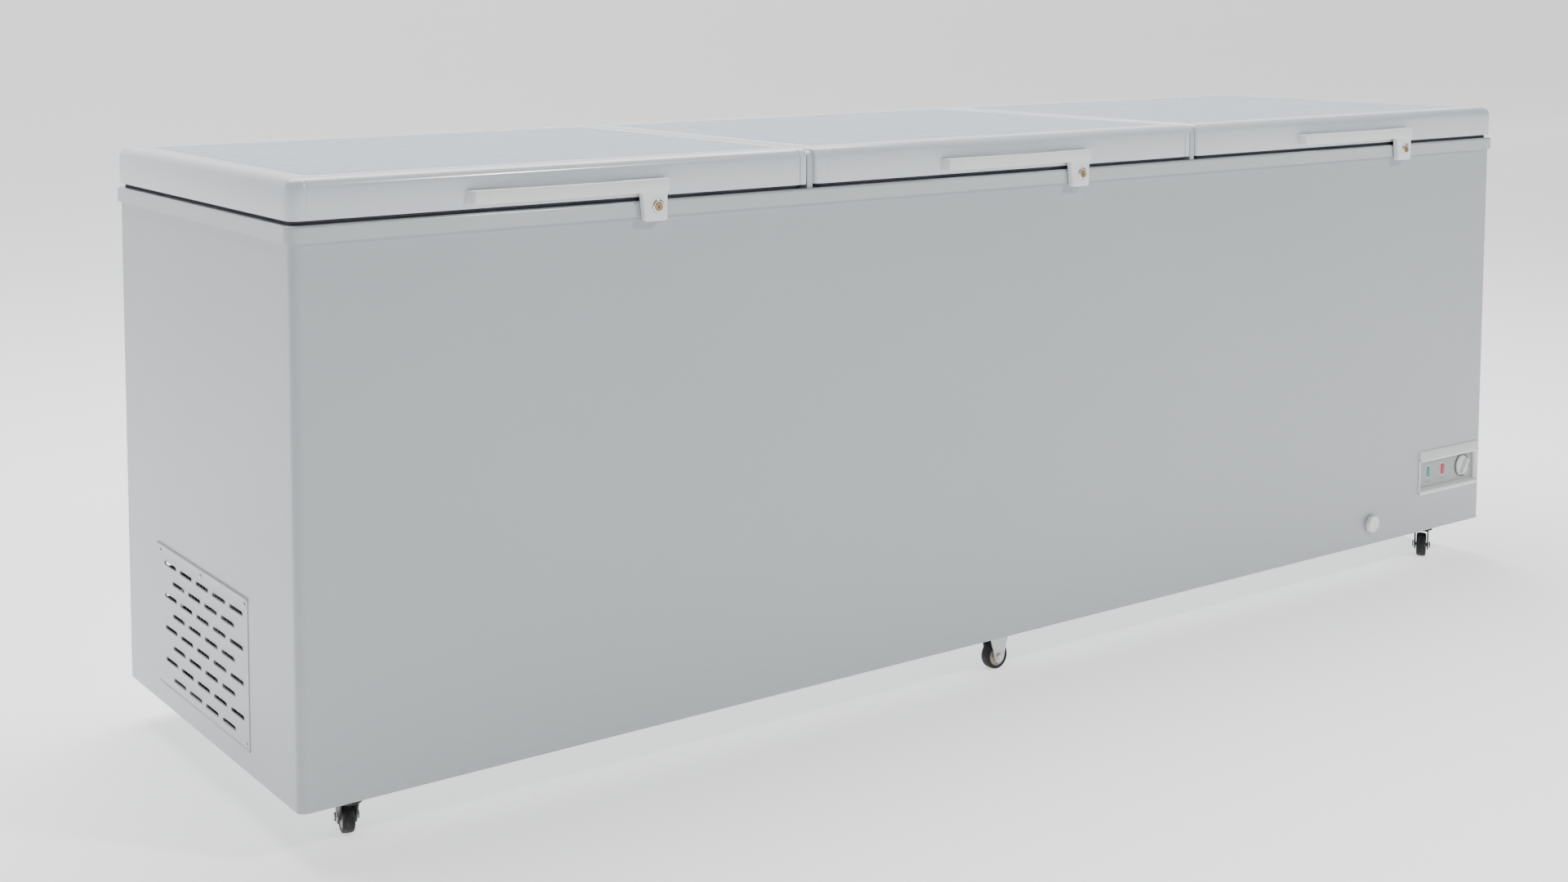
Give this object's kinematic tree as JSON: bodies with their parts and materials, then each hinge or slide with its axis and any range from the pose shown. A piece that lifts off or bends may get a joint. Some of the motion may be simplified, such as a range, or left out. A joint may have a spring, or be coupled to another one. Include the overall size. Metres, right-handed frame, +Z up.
{
  "type": "ice cream dipping cabinet",
  "caption": "Long chest freezer cabinet for scooping ice cream, with solid hinged lids side by side, bow handles with key locks, a drain, a thermostat panel and castors.",
  "frame": {"origin": "on the floor under the middle of the plan outline, handles and hinges included", "axes": "+X along the cabinet to the right seen from the front, the front with the handles faces -Y, +Z up"},
  "size_m": [2.8, 0.74, 0.9755],
  "materials": {
    "body_paint": "semi-gloss cool white powder coat on steel sheet",
    "lid_paint": "gloss cool white coated sheet",
    "galvanised_sheet": "galvanised sheet, dull",
    "insulation": "cut rigid polyurethane foam",
    "tub_metal": "embossed aluminium sheet",
    "strip_plastic": "moulded white plastic",
    "panel_plastic": "moulded white plastic with a grey face",
    "knob_plastic": "moulded pale grey plastic",
    "drain_plastic": "moulded white plastic",
    "handle_plastic": "moulded pale grey-white plastic",
    "tray_plastic": "vacuum-formed white plastic",
    "seal_rubber": "dark soft seal",
    "black_plastic": "moulded black plastic",
    "fan_plastic": "moulded black plastic",
    "green_lens": "clear green-blue lens",
    "red_lens": "clear red lens",
    "lock_chrome": "plated lock barrel",
    "fork_enamel": "black enamelled steel",
    "zinc_plate": "zinc-plated steel",
    "wheel_rubber": "black rubber tyre on a pale hub",
    "copper_tube": "drawn copper tube",
    "compressor_paint": "black enamel on a steel shell",
    "fin_aluminium": "aluminium fin pack"
  },
  "bodies": {
    "root": {"base_pan": "galvanised_sheet", "base_rails": "galvanised_sheet", "cabinet_foam": "insulation", "caster_bolts": "zinc_plate", "caster_plates": "zinc_plate", "compressor": "compressor_paint", "condenser": "fin_aluminium", "control_bezel": "panel_plastic", "cord_gland": "black_plastic", "drain_tube": "drain_plastic", "evaporator_coil": "copper_tube", "fan_frame": "galvanised_sheet", "fixed_caster_forks": "zinc_plate", "grille_screws": "zinc_plate", "hinge_bases": "zinc_plate", "hinge_pins": "zinc_plate", "inner_liner": "tub_metal", "lamp_green": "green_lens", "lamp_red": "red_lens", "mullions": "strip_plastic", "outer_shell": "body_paint", "refrigerant_lines": "copper_tube", "thermostat": "black_plastic", "top_rim": "strip_plastic", "vent_grille": "body_paint"},
    "lid_1": {"lid_1_cover": "lid_paint", "lid_1_foam": "insulation", "lid_1_gasket": "seal_rubber", "lid_1_handle": "handle_plastic", "lid_1_hinge_arms": "zinc_plate", "lid_1_liner": "tray_plastic"},
    "lock_1": {"lid_1_lock": "lock_chrome"},
    "lid_2": {"lid_2_cover": "lid_paint", "lid_2_foam": "insulation", "lid_2_gasket": "seal_rubber", "lid_2_handle": "handle_plastic", "lid_2_hinge_arms": "zinc_plate", "lid_2_liner": "tray_plastic"},
    "lock_2": {"lid_2_lock": "lock_chrome"},
    "lid_3": {"lid_3_cover": "lid_paint", "lid_3_foam": "insulation", "lid_3_gasket": "seal_rubber", "lid_3_handle": "handle_plastic", "lid_3_hinge_arms": "zinc_plate", "lid_3_liner": "tray_plastic"},
    "lock_3": {"lid_3_lock": "lock_chrome"},
    "knob": {"thermostat_knob": "knob_plastic"},
    "cap": {"drain_cap": "drain_plastic"},
    "plug": {"drain_plug": "seal_rubber"},
    "fan": {"fan_blades": "fan_plastic"},
    "fork_front_left": {"caster_front_left_fork": "fork_enamel"},
    "fork_front_right": {"caster_front_right_fork": "fork_enamel"},
    "fork_rear_left": {"caster_rear_left_fork": "fork_enamel"},
    "fork_rear_right": {"caster_rear_right_fork": "fork_enamel"},
    "wheel_front_left": {"caster_front_left_wheel": "wheel_rubber"},
    "wheel_front_right": {"caster_front_right_wheel": "wheel_rubber"},
    "wheel_rear_left": {"caster_rear_left_wheel": "wheel_rubber"},
    "wheel_rear_right": {"caster_rear_right_wheel": "wheel_rubber"},
    "wheel_front_middle": {"caster_front_middle_wheel": "wheel_rubber"},
    "wheel_rear_middle": {"caster_rear_middle_wheel": "wheel_rubber"}
  },
  "joints": [
    {"name": "lid_1_hinge", "type": "hinge", "parent": "root", "child": "lid_1", "pos_m": [-0.9435, 0.361, 0.9245], "axis": [-1, 0, 0], "range_deg": [0, 80]},
    {"name": "lid_1_lock_turn", "type": "hinge", "parent": "lid_1", "child": "lock_1", "pos_m": [-0.7945, -0.358, 0.902], "axis": [0, 1, 0], "range_deg": [0, 90]},
    {"name": "lid_2_hinge", "type": "hinge", "parent": "root", "child": "lid_2", "pos_m": [-0.0215, 0.361, 0.9245], "axis": [-1, 0, 0], "range_deg": [0, 80]},
    {"name": "lid_2_lock_turn", "type": "hinge", "parent": "lid_2", "child": "lock_2", "pos_m": [0.1275, -0.358, 0.902], "axis": [0, 1, 0], "range_deg": [0, 90]},
    {"name": "lid_3_hinge", "type": "hinge", "parent": "root", "child": "lid_3", "pos_m": [0.922, 0.361, 0.9245], "axis": [-1, 0, 0], "range_deg": [0, 80]},
    {"name": "lid_3_lock_turn", "type": "hinge", "parent": "lid_3", "child": "lock_3", "pos_m": [1.071, -0.358, 0.902], "axis": [0, 1, 0], "range_deg": [0, 90]},
    {"name": "thermostat_turn", "type": "hinge", "parent": "root", "child": "knob", "pos_m": [1.333, -0.346, 0.202], "axis": [0, 1, 0], "range_deg": [0, 270]},
    {"name": "drain_cap_pull", "type": "slide", "parent": "root", "child": "cap", "axis": [0, -1, 0], "range_m": [0, 0.03]},
    {"name": "drain_plug_lift", "type": "slide", "parent": "root", "child": "plug", "axis": [0, 0, 1], "range_m": [0, 0.04]},
    {"name": "fan_spin", "type": "hinge", "parent": "root", "child": "fan", "pos_m": [-1.296, 0.0105, 0.2205], "axis": [1, 0, 0], "continuous": true},
    {"name": "front_left_swivel", "type": "hinge", "parent": "root", "child": "fork_front_left", "pos_m": [-1.288, -0.28, 0.058], "axis": [0, 0, 1], "continuous": true},
    {"name": "front_right_swivel", "type": "hinge", "parent": "root", "child": "fork_front_right", "pos_m": [1.288, -0.28, 0.058], "axis": [0, 0, 1], "continuous": true},
    {"name": "rear_left_swivel", "type": "hinge", "parent": "root", "child": "fork_rear_left", "pos_m": [-1.288, 0.278, 0.058], "axis": [0, 0, 1], "continuous": true},
    {"name": "rear_right_swivel", "type": "hinge", "parent": "root", "child": "fork_rear_right", "pos_m": [1.288, 0.278, 0.058], "axis": [0, 0, 1], "continuous": true},
    {"name": "front_left_roll", "type": "hinge", "parent": "fork_front_left", "child": "wheel_front_left", "pos_m": [-1.28334, -0.26261, 0.025], "axis": [-0.9659, 0.2588, 0], "continuous": true},
    {"name": "front_right_roll", "type": "hinge", "parent": "fork_front_right", "child": "wheel_front_right", "pos_m": [1.27273, -0.28954, 0.025], "axis": [0.5299, -0.848, 0], "continuous": true},
    {"name": "rear_left_roll", "type": "hinge", "parent": "fork_rear_left", "child": "wheel_rear_left", "pos_m": [-1.29416, 0.26109, 0.025], "axis": [0.9397, -0.342, 0], "continuous": true},
    {"name": "rear_right_roll", "type": "hinge", "parent": "fork_rear_right", "child": "wheel_rear_right", "pos_m": [1.297, 0.26241, 0.025], "axis": [0.866, 0.5, 0], "continuous": true},
    {"name": "front_middle_roll", "type": "hinge", "parent": "root", "child": "wheel_front_middle", "pos_m": [0, -0.286, 0.025], "axis": [0, 1, 0], "continuous": true},
    {"name": "rear_middle_roll", "type": "hinge", "parent": "root", "child": "wheel_rear_middle", "pos_m": [0, 0.284, 0.025], "axis": [0, 1, 0], "continuous": true}
  ]
}
